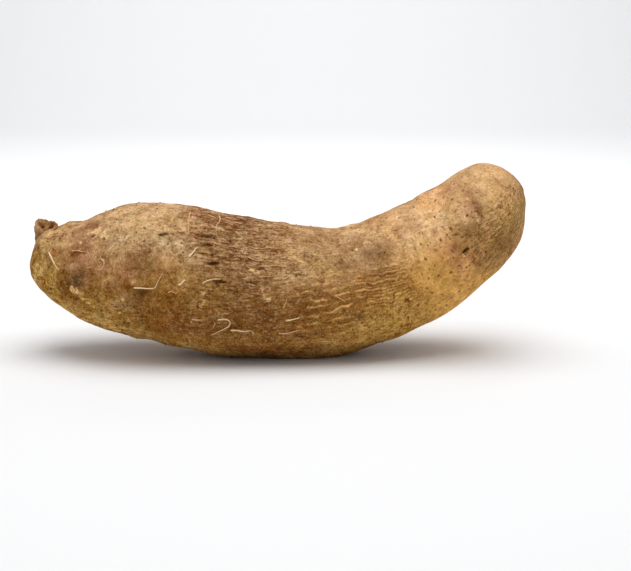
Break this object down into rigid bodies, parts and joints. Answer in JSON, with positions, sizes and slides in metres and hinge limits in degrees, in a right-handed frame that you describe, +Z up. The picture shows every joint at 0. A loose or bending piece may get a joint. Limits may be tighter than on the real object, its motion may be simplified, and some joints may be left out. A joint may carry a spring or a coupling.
{
  "type": "yam tuber",
  "caption": "Whole raw yam lying on its belly: thick bent body, upturned rounded tip, short woody crown stub, rough brown bark-like skin with rootlets.",
  "frame": {"origin": "middle of the tuber's footprint, at the height of the surface it lies on", "axes": "+Z up; +X along the tuber from the crown stub to the upturned growing tip; +Y across it, away from the side shown"},
  "size_m": [0.3288, 0.0964, 0.1282],
  "materials": {
    "skin": "dry, matt, corky bark-like skin with fine roots and traces of soil"
  },
  "bodies": {
    "root": {"tuber": "skin"}
  },
  "joints": []
}
